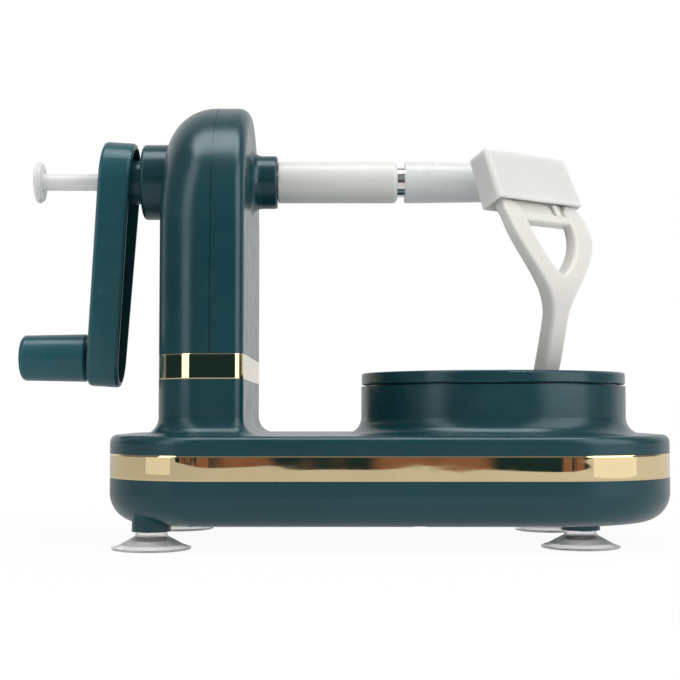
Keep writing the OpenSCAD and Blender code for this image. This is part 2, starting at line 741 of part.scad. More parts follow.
module fruit_sleeve() color(white) xrev() difference() {
    rim_profile(sleeve_d / 2, collar_x + 0.4, sleeve_x1, 0.6, 1.9);
    translate([-1, collar_x - 1]) square([shaft_r + 1, shaft_x1 - collar_x + 1]);
    translate([-1, collar_x]) square([rod_r + 0.6 + 1, sleeve_l]);
    translate([-1, fork_x0]) square([fork_d / 2 + 1, 30]);
}

module fork() color(steel) union() {
    xrev() difference() {
        rim_profile(fork_d / 2, fork_x0, fork_x1, 0, 0.5);
        translate([-1, fork_x0 - 1]) square([tip_r + run + 1, 60]);
    }
    for (a = [90, 210, 330]) translate([0, 0, axis_z]) rotate([a, 0, 0]) {
        translate([fork_x1 - 1, 4.7, 0]) rotate([0, 90, 0]) cylinder(h = tine_l - 5, r = 0.9);
        translate([fork_x1 + tine_l - 6.1, 4.7, 0]) rotate([0, 90, 0]) cylinder(h = 6, r1 = 0.9, r2 = 0.15);
    }
}

module fork_cover() color(white) xrev() difference() {
    union() {
        polygon([[0, cover_x0], [sleeve_d / 2 - 0.4, cover_x0], [sleeve_d / 2, cover_x0 + 0.4],
            [sleeve_d / 2 - 0.45, cover_x1 - 2.9], [0, cover_x1 - 2.9]]);
        rim_profile(sleeve_d / 2 - 0.45, cover_x1 - 4, cover_x1, 0, 3);
    }
    translate([-1, cover_x0 - 1]) square([fork_d / 2 + run + 1, seat_l + 2]);
    translate([-1, cover_x0]) square([fork_d / 2 + 0.3 + 1, cover_x1 - cover_x0 - 1.8]);
}

// ejector

module ejector_rod() color(white) xrev() union() {
    translate([0, knob_x]) square([rod_r, rod_step_x - knob_x]);
    translate([0, rod_step_x - 1]) square([tip_r, fork_x1 + 0.4 - rod_step_x + 2]);
    rim_profile(knob_d / 2, knob_x - 2.1, knob_x - 0.3, 0.9, 0.4);
    rim_profile(knob_d / 2 - 0.5, knob_x - 0.6, knob_x + 0.7, 0, 0.7);
}

module ejector_button() color(white) xrev() difference() {
    rim_profile(3, fork_x1 + 0.4, fork_x1 + 2.8, 0.2, 0.7);
    translate([-1, fork_x1]) square([tip_r + 1, 1.4]);
}

// gear train

module lay_shaft() color(steel) translate([lay_x, lay_y, floor_z + 1.5])
    cylinder(h = axis_z + 13 - floor_z - 1.5, r = lay_r);

module spur(m, n, w, phase, bore, hub_r, hub_h) difference() {
    union() {
        linear_extrude(w) polygon(gear_pts(m, n, phase));
        cylinder(h = w + hub_h, r = hub_r);
    }
    translate([0, 0, -1]) cylinder(h = w + hub_h + 2, r = bore);
}

module worm_wheel() color(nylon) translate([lay_x, lay_y, axis_z - 2.5])
    spur(worm_m, wheel_n, 5, -90 + 180 / wheel_n, lay_r, 5.5, 2);

module drive_pinion() color(nylon) translate([lay_x, lay_y, gear_z])
    spur(gear_m, pinion_n, gear_w, dir1, lay_r, 7, 3);

module idler_gear() color(nylon) translate([idler_x, idler_y, gear_z]) difference() {
    spur(gear_m, idler_n, gear_w, idler_phase, 3 + run, 6.5, 1);
    // lightening recess
    translate([0, 0, gear_w / 2 + 1]) difference() {
        cylinder(h = gear_w, r = idler_r - 6);
        cylinder(h = gear_w, r = 6.5);
    }
}

module turntable_gear() color(nylon) translate([tt_x, 0, gear_z])
    spur(gear_m, tt_gear_n, gear_w, tt_phase, 5, 9, 0.5);

// turntable

module turntable() color(teal) difference() {
    union() {
        translate([tt_x, 0, 0]) rotate_extrude() difference() {
            union() {
                rim_profile(tt_r, rim_z0, tt_z1, 0.7, 0.9);
                translate([0, tray_z0]) square([tray_r, rim_z0 + 1 - tray_z0]);
                translate([0, gear_z + gear_w + 0.5]) square([spindle_r, tray_z0 + 1 - gear_z - gear_w - 0.5]);
                translate([0, gear_z - 3.6]) square([5, gear_w + 6]);
                translate([0, floor_z + 1.5]) square([journal_r, gear_z - floor_z - 1.5]);
            }
            difference() {
                translate([-1, tray_z]) square([tray_in + 1, tt_z1]);
                difference() {
                    translate([tray_in - 2, tray_z]) square([3, 2]);
                    translate([tray_in - 2, tray_z + 2]) circle(2);
                }
            }
        }
        // hinge ears
        arm_frame() for (t = [-ear_in - 3, ear_in + coil_room]) {
            translate([t, -hinge_r, hinge_z]) rotate([0, 90, 0]) cylinder(h = 3, r = 4.6);
            translate([t, -hinge_r - 4.6, tray_z - 0.5]) cube([3, 9.2, hinge_z - tray_z + 0.5]);
        }
    }
    arm_frame() translate([-30, -hinge_r, hinge_z]) rotate([0, 90, 0]) cylinder(h = 60, r = hinge_pin_r);
}

module gear_clip() color(steel) translate([tt_x, 0, gear_z - 2]) difference() {
    cylinder(h = 1.4, r = 7);
    translate([0, 0, -1]) cylinder(h = 4, r = 5);
}

module hinge_pin() color(steel) arm_frame() translate([-ear_in - 3.6, -hinge_r, hinge_z]) rotate([0, 90, 0])
    cylinder(h = 2 * ear_in + coil_room + 4.2, r = hinge_pin_r);

// torsion spring in the clevis beside the barrel: leg behind the arm, coil, leg on the tray
coil_r = 3;
wire_r = 0.45;
coil_pitch = 1.4;
coil_turns = 2.75;
coil_t0 = ear_in + 0.4;
leg_z = hinge_z + 6.4;
function coil_path() = concat(
    [[2, -arm_r(leg_z) - stem_t / 2 - wire_r - 0.15, leg_z],
        [stem_w / 2 + 1, -arm_r(leg_z - 1.5) - stem_t / 2 - 0.7, leg_z - 1.5],
        [coil_t0, -hinge_r - 4.4, hinge_z + 2.2]],
    [for (k = [0:coil_turns * 8]) let (a = k * 45)
        [coil_t0 + coil_pitch * k / 8, -hinge_r - coil_r * cos(a), hinge_z - coil_r * sin(a)]],
    [[coil_t0 + coil_pitch * coil_turns + 0.2, -hinge_r - coil_r - 1.2, hinge_z + 3.4],
        [coil_t0 + coil_pitch * coil_turns + 0.2, -hinge_r - 7.2, hinge_z - 2.6],
        [coil_t0 + coil_pitch * coil_turns + 0.2, -hinge_r - 8.4, tray_z + 0.8]]);
function unit(v) = v / norm(v);
module tube(path, r) {
    n = len(path);
    skin([for (i = [0:n - 1])
        let (d = unit(path[min(i + 1, n - 1)] - path[max(i - 1, 0)]),
            u = unit(cross([1, 0, 0.02], d)), v = cross(d, u))
        [for (k = [0:5]) path[i] + r * (cos(60 * k) * u + sin(60 * k) * v)]]);
}
module arm_spring() color(steel) arm_frame() tube(coil_path(), wire_r);
echo(arm_spring_gap = coil_pitch - 2 * wire_r);

// blade arm

arm_z = concat([for (k = [0:6]) hinge_z - 1 + (fork_z - hinge_z + 1) * k / 7],
    [for (k = [0:6]) fork_z + (crotch_z - fork_z) * k / 7],
    [for (k = [0:5]) crotch_z + 4 * k * k / 36],
    [for (k = [0:21]) crotch_z + 4 + (tip_z - crotch_z - 4) * k / 21]);

// one half of the arm from the hinge to the tip of its prong
module arm_half() skin([for (z = arm_z)
    [for (p = section(arm_in(z), arm_out(z), arm_thick(z), arm_soft(z))) [p[0], p[1] - arm_r(z), z]]]);

module blade_arm() color(white) difference() {
    union() {
        arm_frame() {
            arm_half();
            mirror([1, 0, 0]) arm_half();
            translate([-4.8, -hinge_r, hinge_z]) rotate([0, 90, 0]) cylinder(h = 9.6, r = barrel_r);
            // crossbar over the opening
            translate([-open_half - 1.5, -arm_r(bar_z), bar_z]) rotate([-32, 0, 0]) rotate([0, 90, 0])
                linear_extrude(2 * open_half + 3) rrect(4.2, 4.4, 1);
        }
    }
    arm_frame() translate([-10, -hinge_r, hinge_z]) rotate([0, 90, 0]) cylinder(h = 20, r = hinge_pin_r + run);
    head_frame() translate([-30, 0, 0]) rotate([0, 90, 0]) cylinder(h = 60, r = 1);
}

module blade_pins() color(steel) head_frame() for (s = [-1, 1]) translate([s > 0 ? tip_t - 8.2 : 0.6 - tip_t, 0, 0])
    rotate([0, 90, 0]) cylinder(h = 7.6, r = 1);

module blade() color(steel) head_frame() difference() {
    union() {
        // hollow-ground strip with a peel slot
        difference() {
            intersection() {
                translate([5.8 - tip_t, 6, 0]) rotate([0, 90, 0]) cylinder(h = 2 * tip_t - 11.6, r = 8.4);
                translate([-30, -4, -4.6]) cube([60, 8, 9.2]);
            }
            translate([-30, 6, 0]) rotate([0, 90, 0]) cylinder(h = 60, r = 7.5);
            translate([9 - tip_t, -6, -0.2]) cube([2 * tip_t - 18, 8, 2.2]);
        }
        // end lugs on the pivots
        for (s = [-1, 1]) translate([s * (tip_t - 6.5) - 0.7, -2.3, -2.4]) cube([1.4, 4.4, 4.8]);
    }
    translate([-30, 0, 0]) rotate([0, 90, 0]) cylinder(h = 60, r = 1 + run);
}

// convex outline with rounded corners
function soft(pts, r) = let (n = len(pts)) [for (i = [0:n - 1])
    let (p = pts[i], a = unit(pts[(i + n - 1) % n] - p), b = unit(pts[(i + 1) % n] - p), h = acos(a * b) / 2,
        c = p + unit(a + b) * r / sin(h), v = p + a * r / tan(h) - c, w = p + b * r / tan(h) - c,
        a0 = atan2(v[1], v[0]), d = (atan2(w[1], w[0]) - a0 + 540) % 360 - 180)
    for (k = [0:5]) c + r * [cos(a0 + d * k / 5), sin(a0 + d * k / 5)]];

// half length and half thickness of the guard at height z of the head, less a wall
function guard_a(z, i) = guard_l / 2 + guard_draft * (head_top - z) / guard_h - i;
function guard_b(z, i) = guard_t / 2 + 0.4 * guard_draft * (head_top - z) / guard_h - i;

// tapered block of the guard between two heights, as the common part of its front, side and plan outlines
module guard_block(z0, z1, i, r, e) intersection() {
    skin([for (z = [z0, z1]) let (a = guard_a(z, i), b = guard_b(z, i))
        [for (p = soft([[-a, -b], [a, -b], [a, b], [-a, b]], e)) [p[0], p[1], z]]]);
    translate([0, guard_t, 0]) rotate([90, 0, 0]) linear_extrude(2 * guard_t)
        polygon(soft([[-guard_a(z0, i), z0], [guard_a(z0, i), z0], [guard_a(z1, i), z1], [-guard_a(z1, i), z1]], r));
    translate([-guard_l, 0, 0]) rotate([90, 0, 90]) linear_extrude(2 * guard_l)
        polygon(soft([[-guard_b(z0, i), z0], [guard_b(z0, i), z0], [guard_b(z1, i), z1], [-guard_b(z1, i), z1]], r));
}

module blade_guard() color(white) head_frame() union() {
    difference() {
        guard_block(head_top - guard_h, head_top, 0, 1.1, 2.2);
        guard_block(head_top - guard_h - 1, head_top - guard_wall, guard_wall, 0.3, 0.8);
        translate([0, 0, head_top - guard_h - 1]) linear_extrude(2)
            square([2 * guard_a(head_top - guard_h, guard_wall), 2 * guard_b(head_top - guard_h, guard_wall)], center = true);
    }
    // stops over the prong tips
    for (s = [-1, 1]) translate([s * (tip_t - tip_w / 2) - 2, -cav_n - 0.5, stop_z])
        cube([4, 2 * cav_n + 1, head_top - guard_wall / 2 - stop_z]);
}

base_upper_shell();
base_lower_shell();
base_trim_band();
cup_front_left();
cup_front_right();
cup_back_left();
cup_back_right();
base_screws();
column_left_shell();
column_right_shell();
column_trim_ring();
column_screws();
crank_bush();
fork_bush();
idler_pin();
main_shaft();
worm();
crank_arm();
grip_axle();
shaft_clip();
fruit_sleeve();
fork();
grip();
ejector_rod();
ejector_button();
fork_cover();
lay_shaft();
worm_wheel();
drive_pinion();
idler_gear();
turntable();
turntable_gear();
gear_clip();
hinge_pin();
arm_spring();
blade_arm();
blade_pins();
blade();
blade_guard();
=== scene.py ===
"""Looks, light and camera of a hand-crank fruit peeler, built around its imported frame.

Lengths are metres in the frame's own axes: +X from the crank to the turntable, -Y towards the
viewer, +Z up, table at zero height.
"""

from __future__ import annotations

import json
import logging
import math
from dataclasses import dataclass, replace
from enum import Enum

import bmesh
import bpy
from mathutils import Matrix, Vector

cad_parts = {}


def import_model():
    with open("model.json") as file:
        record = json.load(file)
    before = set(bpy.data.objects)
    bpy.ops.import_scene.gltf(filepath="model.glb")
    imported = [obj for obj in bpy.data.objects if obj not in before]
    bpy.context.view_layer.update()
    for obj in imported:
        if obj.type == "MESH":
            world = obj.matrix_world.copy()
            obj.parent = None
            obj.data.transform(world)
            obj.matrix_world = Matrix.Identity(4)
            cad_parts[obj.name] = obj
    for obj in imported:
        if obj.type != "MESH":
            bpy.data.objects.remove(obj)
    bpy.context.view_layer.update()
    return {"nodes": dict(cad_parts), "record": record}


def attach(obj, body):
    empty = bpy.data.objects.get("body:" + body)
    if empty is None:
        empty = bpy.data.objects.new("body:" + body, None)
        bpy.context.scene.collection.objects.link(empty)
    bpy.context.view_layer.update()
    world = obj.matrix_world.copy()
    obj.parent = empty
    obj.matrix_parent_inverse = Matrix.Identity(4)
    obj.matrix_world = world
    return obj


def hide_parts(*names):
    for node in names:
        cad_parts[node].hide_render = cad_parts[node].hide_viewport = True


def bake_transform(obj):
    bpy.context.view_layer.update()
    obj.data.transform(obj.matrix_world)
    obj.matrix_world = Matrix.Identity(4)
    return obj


LOG = logging.getLogger("fruit_peeler")
MM = 0.001

Rgb = tuple[float, float, float]
Point = tuple[float, float, float]
Span = tuple[float, float]
Socket = bpy.types.NodeSocket
Material = bpy.types.Material
Piece = bpy.types.Object
Form = bmesh.types.BMesh

EVEN: Point = (1.0, 1.0, 1.0)
WHITE: Rgb = (1.0, 1.0, 1.0)


class Slot(Enum):
    """Names of two material slots of the record."""

    STEEL = "steel"
    ARM = "arm_white"


class Body(Enum):
    """Moving bodies of the frame; the web made here follows the arm."""

    TURNTABLE = "turntable"
    ARM = "arm"


def shade(color: Rgb, share: float) -> Rgb:
    """Lightens or darkens a colour by a share of itself."""
    return tuple(min(1.0, c * (1.0 + share)) for c in color)


def facing(way: Vector, toward: Vector) -> Vector:
    """Gives a direction or its opposite, whichever points towards another."""
    return way if way.dot(toward) > 0.0 else -way


def add_object(name: str, data: bpy.types.ID) -> Piece:
    """Puts an object with the given data in the scene."""
    piece = bpy.data.objects.new(name, data)
    bpy.context.scene.collection.objects.link(piece)
    return piece


def add_form(name: str, form: Form) -> Piece:
    """Turns a form into a mesh object of the scene and frees the form."""
    mesh = bpy.data.meshes.new(name)
    form.to_mesh(mesh)
    form.free()
    return add_object(name, mesh)


class NodeGraph:
    """Node tree with short calls for the nodes used here.

    Attributes:
        COLOR_A: Place of the first colour among a mix node's inputs.
        COLOR_B: Place of the second colour among them.
        COLOR_OUT: Place of the mixed colour among its outputs.
    """

    COLOR_A = 6
    COLOR_B = 7
    COLOR_OUT = 2

    def __init__(self, tree: bpy.types.NodeTree) -> None:
        """Empties the tree.

        Args:
            tree: Tree of a material or of the world.
        """
        self.tree = tree
        self.tree.nodes.clear()

    def add(self, kind: str) -> bpy.types.Node:
        """Adds a node of the given kind."""
        return self.tree.nodes.new(kind)

    def link(self, source: Socket, target: Socket) -> None:
        """Joins two sockets."""
        self.tree.links.new(source, target)

    def spread(
        self, source: Socket, low: float, high: float, to_low: float = 0.0, to_high: float = 1.0
    ) -> Socket:
        """Maps a value range onto another, smoothly and clamped.

        Args:
            source: Value to map.
            low: Input that gives to_low.
            high: Input that gives to_high.
            to_low: Output at the low end.
            to_high: Output at the high end.

        Returns:
            The mapped value.
        """
        node = self.add("ShaderNodeMapRange")
        node.interpolation_type = "SMOOTHSTEP"
        ends = {"From Min": low, "From Max": high, "To Min": to_low, "To Max": to_high}
        for name, value in ends.items():
            node.inputs[name].default_value = value
        self.link(source, node.inputs["Value"])
        return node.outputs["Result"]

    def calc(self, operation: str, a: Socket, b: Socket) -> Socket:
        """Adds a math node on two values."""
        node = self.add("ShaderNodeMath")
        node.operation = operation
        self.link(a, node.inputs[0])
        self.link(b, node.inputs[1])
        return node.outputs["Value"]

    def mix(self, share: Socket, a: Rgb | Socket, b: Rgb | Socket) -> Socket:
        """Mixes two colours.

        Args:
            share: Share of the second colour.
            a: First colour or colour socket.
            b: Second colour or colour socket.

        Returns:
            The mixed colour.
        """
        node = self.add("ShaderNodeMix")
        node.data_type = "RGBA"
        self.link(share, node.inputs["Factor"])
        for spot, value in ((self.COLOR_A, a), (self.COLOR_B, b)):
            if isinstance(value, tuple):
                node.inputs[spot].default_value = (*value, 1.0)
            else:
                self.link(value, node.inputs[spot])
        return node.outputs[self.COLOR_OUT]


class ShaderGraph(NodeGraph):
    """Node tree of one material round a principled shader."""

    def __init__(self, name: str) -> None:
        """Starts a tree that holds the shader, its output and the object's coordinates.

        Args:
            name: Name of the material.
        """
        self.material: Material = bpy.data.materials.new(name)
        self.material.use_nodes = True
        super().__init__(self.material.node_tree)
        self.output = self.add("ShaderNodeOutputMaterial")
        self.shader = self.add("ShaderNodeBsdfPrincipled")
        self.link(self.shader.outputs["BSDF"], self.output.inputs["Surface"])
        self.place: Socket = self.add("ShaderNodeTexCoord").outputs["Object"]

    def set(self, **values: float | Point) -> None:
        """Writes constant values to the shader's own sockets.

        Args:
            **values: Socket names with underscores for spaces, and their values.
        """
        for name, value in values.items():
            socket = self.shader.inputs[name.replace("_", " ")]
            socket.default_value = (*value, 1.0) if socket.type == "RGBA" else value

    def feed(self, name: str, source: Socket) -> None:
        """Drives a shader socket from a node."""
        self.link(source, self.shader.inputs[name])

    def noise(
        self, size: float, detail: float = 2.0, stretch: Point = EVEN, turn: Point = (0.0, 0.0, 0.0)
    ) -> Socket:
        """Adds a noise field.

        Args:
            size: Feature size in metres.
            detail: Octaves of detail.
            stretch: Scale of the coordinates along each axis.
            turn: Turn of the coordinates in degrees.

        Returns:
            The noise value.
        """
        mapping = self.add("ShaderNodeMapping")
        mapping.inputs["Scale"].default_value = stretch
        mapping.inputs["Rotation"].default_value = tuple(math.radians(a) for a in turn)
        self.link(self.place, mapping.inputs["Vector"])
        noise = self.add("ShaderNodeTexNoise")
        noise.inputs["Scale"].default_value = 1.0 / size
        noise.inputs["Detail"].default_value = detail
        self.link(mapping.outputs["Vector"], noise.inputs["Vector"])
        return noise.outputs["Fac"]

    def bump(
        self, height: Socket, depth: float, strength: float = 1.0, under: Socket | None = None
    ) -> Socket:
        """Turns a height field into a normal.

        Args:
            height: Height from 0 to 1.
            depth: Depth of the relief in metres.
            strength: Strength of the effect.
            under: Normal that this relief is laid on.

        Returns:
            The normal.
        """
        node = self.add("ShaderNodeBump")
        node.inputs["Distance"].default_value = depth
        node.inputs["Strength"].default_value = strength
        self.link(height, node.inputs["Height"])
        if under is not None:
            self.link(under, node.inputs["Normal"])
        return node.outputs["Normal"]


@dataclass(frozen=True)
class Scuffs:
    """Wear of handled plastic: small pale nicks and broad rubbed patches.

    Attributes:
        strength: Share of the rubbed colour in a nick.
        color: Rubbed colour.
        patch: Feature size of the patches.
        patch_edge: Noise levels between which a patch fades in.
        patch_share: Strength of a patch beside that of a nick.
        nick: Feature size of the nicks.
        nick_edge: Noise levels between which a nick fades in.
        nick_stretch: Scale of the nicks along each axis.
        nick_turn: Slant of the nicks in degrees.
    """

    strength: float
    color: Rgb = (0.1, 0.19, 0.2)
    patch: float = 16 * MM
    patch_edge: Span = (0.5, 0.75)
    patch_share: float = 0.25
    nick: float = 2.6 * MM
    nick_edge: Span = (0.68, 0.76)
    nick_stretch: Point = (1.0, 1.0, 0.7)
    nick_turn: Point = (20.0, 35.0, 10.0)

    def share(self, graph: ShaderGraph) -> Socket:
        """Gives the share of the rubbed colour.

        Args:
            graph: Tree of the material.

        Returns:
            The share at each spot.
        """
        worn = self.patch_share * self.strength
        patches = graph.spread(graph.noise(self.patch, detail=3.0), *self.patch_edge, 0.0, worn)
        flecks = graph.noise(self.nick, stretch=self.nick_stretch, turn=self.nick_turn)
        nicks = graph.spread(flecks, *self.nick_edge, 0.0, self.strength)
        return graph.calc("MAXIMUM", patches, nicks)


@dataclass(frozen=True)
class MouldedPlastic:
    """Injection-moulded plastic with a fine mould grain, soft colour drift and any scuffs.

    Attributes:
        name: Name of the material.
        color: Mean colour.
        roughness: Mean roughness.
        drift: Share by which the colour drifts.
        swing: How far the roughness swings.
        grain: Feature size of the mould grain.
        relief: Depth of the mould grain.
        sink: Depth of broad sink marks, zero for none.
        scuffs: Wear of the surface.
        glow: Share of the light that spreads under the surface.
        glow_depth: How far that light spreads.
        specular: Strength of the gloss.
        gloss_tint: Colour of the gloss.
        grain_strength: Strength of the mould grain.
        sink_size: Feature size of the sink marks.
        sink_strength: Strength of the sink marks.
        cloud: Feature size of the colour drift.
        cloud_edge: Noise levels over which the colour drifts.
        satin: Feature size of the roughness swing.
        satin_edge: Noise levels over which the roughness swings.
    """

    name: str
    color: Rgb
    roughness: float
    drift: float
    swing: float
    grain: float = 0.5 * MM
    relief: float = 0.0045 * MM
    sink: float = 0.2 * MM
    scuffs: Scuffs | None = None
    glow: float = 0.0
    glow_depth: float = 2.0 * MM
    specular: float = 0.5
    gloss_tint: Rgb = WHITE
    grain_strength: float = 0.6
    sink_size: float = 60 * MM
    sink_strength: float = 0.25
    cloud: float = 35 * MM
    cloud_edge: Span = (0.35, 0.65)
    satin: float = 9 * MM
    satin_edge: Span = (0.3, 0.7)

    def make(self) -> Material:
        """Builds the material.

        Returns:
            The finished material.
        """
        graph = ShaderGraph(self.name)
        graph.set(Specular_IOR_Level=self.specular, Specular_Tint=self.gloss_tint)
        if self.glow:
            graph.set(Subsurface_Weight=self.glow, Subsurface_Scale=self.glow_depth, Subsurface_Radius=EVEN)
        cloud = graph.spread(graph.noise(self.cloud, detail=3.0), *self.cloud_edge)
        color = graph.mix(cloud, shade(self.color, -self.drift), shade(self.color, self.drift))
        smooth, rough = self.roughness - self.swing, self.roughness + self.swing
        satin = graph.spread(graph.noise(self.satin, detail=4.0), *self.satin_edge, smooth, rough)
        if self.scuffs:
            color = graph.mix(self.scuffs.share(graph), color, self.scuffs.color)
        graph.feed("Base Color", color)
        graph.feed("Roughness", satin)
        pebble = graph.noise(self.grain)
        under = None
        if self.sink:
            marks = graph.noise(self.sink_size, detail=1.0)
            under = graph.bump(marks, self.sink, self.sink_strength)
        graph.feed("Normal", graph.bump(pebble, self.relief, self.grain_strength, under))
        return graph.material


@dataclass(frozen=True)
class MetalFilm:
    """Mirror-bright pale gold strip whose sheet is not quite flat.

    Attributes:
        name: Name of the material.
        roughness: Lowest roughness.
        wave: Length of the sheet's waves.
        wave_depth: Depth of the waves.
        edges: Heights of the strip's lower and upper edge.
        roll: Width along each edge over which the sheet falls away.
        roll_depth: How deep it falls there.
        color: Colour of the clean film.
        tarnish: Colour of the duller film.
        cloud: Feature size of the tarnish.
        cloud_edge: Noise levels over which it changes.
        haze: Roughness added by haze.
        haze_size: Feature size of the haze.
        haze_edge: Noise levels over which it changes.
        wave_detail: Octaves of the waves.
        wave_stretch: Scale of the waves along each axis, long along the strip.
    """

    name: str
    roughness: float
    wave: float
    wave_depth: float
    edges: Span
    roll: float = 0.7 * MM
    roll_depth: float = 0.12 * MM
    color: Rgb = (0.88, 0.715, 0.43)
    tarnish: Rgb = (0.85, 0.68, 0.395)
    cloud: float = 26 * MM
    cloud_edge: Span = (0.35, 0.7)
    haze: float = 0.012
    haze_size: float = 4 * MM
    haze_edge: Span = (0.3, 0.75)
    wave_detail: float = 0.6
    wave_stretch: Point = (0.22, 0.22, 1.0)

    def make(self) -> Material:
        """Builds the material.

        Returns:
            The finished material.
        """
        graph = ShaderGraph(self.name)
        graph.set(Metallic=1.0)
        cloud = graph.spread(graph.noise(self.cloud, detail=3.0), *self.cloud_edge)
        graph.feed("Base Color", graph.mix(cloud, self.color, self.tarnish))
        hazy = self.roughness + self.haze
        haze = graph.noise(self.haze_size, detail=3.0)
        graph.feed("Roughness", graph.spread(haze, *self.haze_edge, self.roughness, hazy))
        waves = graph.noise(self.wave, self.wave_detail, self.wave_stretch)
        ripple = graph.bump(waves, self.wave_depth)
        graph.feed("Normal", graph.bump(self._rolled(graph), self.roll_depth, under=ripple))
        return graph.material

    def _rolled(self, graph: ShaderGraph) -> Socket:
        """Gives the height of the sheet, which falls away along its lower and upper edge."""
        axes = graph.add("ShaderNodeSeparateXYZ")
        graph.link(graph.place, axes.inputs["Vector"])
        low, high = self.edges
        foot = graph.spread(axes.outputs["Z"], low, low + self.roll)
        head = graph.spread(axes.outputs["Z"], high - self.roll, high, 1.0, 0.0)
        return graph.calc("MINIMUM", foot, head)


@dataclass(frozen=True)
class TurnedMetal:
    """Steel or chrome with fine marks of drawing or polishing.

    Attributes:
        name: Name of the material.
        color: Mean colour.
        roughness: Lowest roughness.
        line: Width of the marks.
        line_depth: Depth of the marks.
        line_strength: Strength of their relief.
        line_edge: Noise levels over which the roughness changes.
        stretch: Scale of the marks along each axis.
        dark: Share by which the darkest marks differ from the mean colour.
        bright: Share by which the brightest ones differ.
        rough_gain: Highest roughness as a multiple of the lowest.
    """

    name: str
    color: Rgb
    roughness: float
    line: float
    line_depth: float
    line_strength: float = 0.5
    line_edge: Span = (0.3, 0.7)
    stretch: Point = (0.05, 1.0, 1.0)
    dark: float = -0.12
    bright: float = 0.06
    rough_gain: float = 1.7

    def make(self) -> Material:
        """Builds the material.

        Returns:
            The finished material.
        """
        graph = ShaderGraph(self.name)
        graph.set(Metallic=1.0)
        lines = graph.noise(self.line, detail=3.0, stretch=self.stretch)
        dark, bright = shade(self.color, self.dark), shade(self.color, self.bright)
        graph.feed("Base Color", graph.mix(lines, dark, bright))
        rough = self.roughness * self.rough_gain
        graph.feed("Roughness", graph.spread(lines, *self.line_edge, self.roughness, rough))
        graph.feed("Normal", graph.bump(lines, self.line_depth, self.line_strength))
        return graph.material


@dataclass(frozen=True)
class ClearVinyl:
    """Clear soft vinyl with slight haze and moulding ripples.

    Attributes:
        name: Name of the material.
        color: Colour of the clearest parts.
        roughness: Lowest roughness.
        clear: Share of the light that goes through.
        ior: Refraction.
        haze: Roughness added by haze.
        haze_size: Feature size of the haze.
        haze_edge: Noise levels over which it changes.
        haze_shade: Share by which haze darkens the colour.
        ripple: Feature size of the ripples.
        ripple_depth: Depth of the ripples.
        ripple_strength: Strength of the ripples.
    """

    name: str
    color: Rgb
    roughness: float
    clear: float
    ior: float
    haze: float = 0.12
    haze_size: float = 7 * MM
    haze_edge: Span = (0.35, 0.7)
    haze_shade: float = -0.08
    ripple: float = 9 * MM
    ripple_depth: float = 0.1 * MM
    ripple_strength: float = 0.3

    def make(self) -> Material:
        """Builds the material.

        Returns:
            The finished material.
        """
        graph = ShaderGraph(self.name)
        graph.set(Transmission_Weight=self.clear, IOR=self.ior)
        haze = graph.noise(self.haze_size, detail=3.0)
        graph.feed("Base Color", graph.mix(haze, self.color, shade(self.color, self.haze_shade)))
        hazy = self.roughness + self.haze
        graph.feed("Roughness", graph.spread(haze, *self.haze_edge, self.roughness, hazy))
        ripples = graph.noise(self.ripple, detail=1.0)
        graph.feed("Normal", graph.bump(ripples, self.ripple_depth, self.ripple_strength))
        return graph.material


Finish = MouldedPlastic | MetalFilm | TurnedMetal | ClearVinyl

TEAL = MouldedPlastic(
    name="teal_satin",
    color=(0.0058, 0.0475, 0.0585),
    roughness=0.25,
    drift=0.05,
    swing=0.03,
    specular=0.62,
    gloss_tint=(0.78, 0.92, 1.0),
)
TEAL_WORN = replace(
    TEAL,
    name="teal_handled",
    color=(0.0125, 0.086, 0.106),
    roughness=0.28,
    drift=0.06,
    swing=0.04,
    scuffs=Scuffs(strength=0.3),
    specular=0.55,
)
GOLD_BAND = MetalFilm(
    name="pale_gold_band",
    roughness=0.012,
    wave=9 * MM,
    wave_depth=0.04 * MM,
    edges=(27.3 * MM, 37.0 * MM),
)
GOLD_RING = MetalFilm(
    name="pale_gold_ring",
    roughness=0.03,
    wave=14 * MM,
    wave_depth=0.03 * MM,
    edges=(66.5 * MM, 76.4 * MM),
    roll=0.4 * MM,
    roll_depth=0.05 * MM,
)
VINYL = ClearVinyl("clear_vinyl", (0.985, 0.98, 0.965), roughness=0.1, clear=0.8, ior=1.3)
STEEL = TurnedMetal(
    "drawn_steel", (0.62, 0.63, 0.65), roughness=0.22, line=0.6 * MM, line_depth=0.004 * MM
)
CHROME = TurnedMetal(
    "bright_chrome", (0.92, 0.915, 0.9), roughness=0.08, line=0.5 * MM, line_depth=0.002 * MM
)
ACETAL = MouldedPlastic(
    name="natural_acetal",
    color=(0.78, 0.76, 0.7),
    roughness=0.42,
    drift=0.04,
    swing=0.04,
    sink=0.0,
    glow=0.1,
)
IVORY = MouldedPlastic(
    name="ivory_gloss",
    color=(0.765, 0.762, 0.73),
    roughness=0.3,
    drift=0.01,
    swing=0.02,
    grain=0.8 * MM,
    relief=0.004 * MM,
    sink=0.0,
    glow=0.6,
    glow_depth=4 * MM,
)
COOL_WHITE = replace(IVORY, name="cool_white_gloss", color=(0.745, 0.755, 0.765), roughness=0.28)
GUARD_WHITE = replace(
    IVORY,
    name="guard_white",
    color=(0.79, 0.78, 0.752),
    roughness=0.4,
    swing=0.03,
    grain=0.6 * MM,
    relief=0.006 * MM,
    glow=1.0,
    glow_depth=5 * MM,
)
ARM_WHITE = replace(
    IVORY,
    name="arm_warm_white",
    color=(0.73, 0.712, 0.674),
    roughness=0.36,
    drift=0.015,
    swing=0.03,
    grain=0.7 * MM,
    relief=0.006 * MM,
)
# Lighter, yellower copy of the arm's white for the web under the guard: a painted glow that stands in for
# light passing through the thin plastic there.
ARM_WHITE_PAINTED_GLOW = replace(ARM_WHITE, name="web_painted_glow", color=(0.88, 0.845, 0.76), glow=0.8)
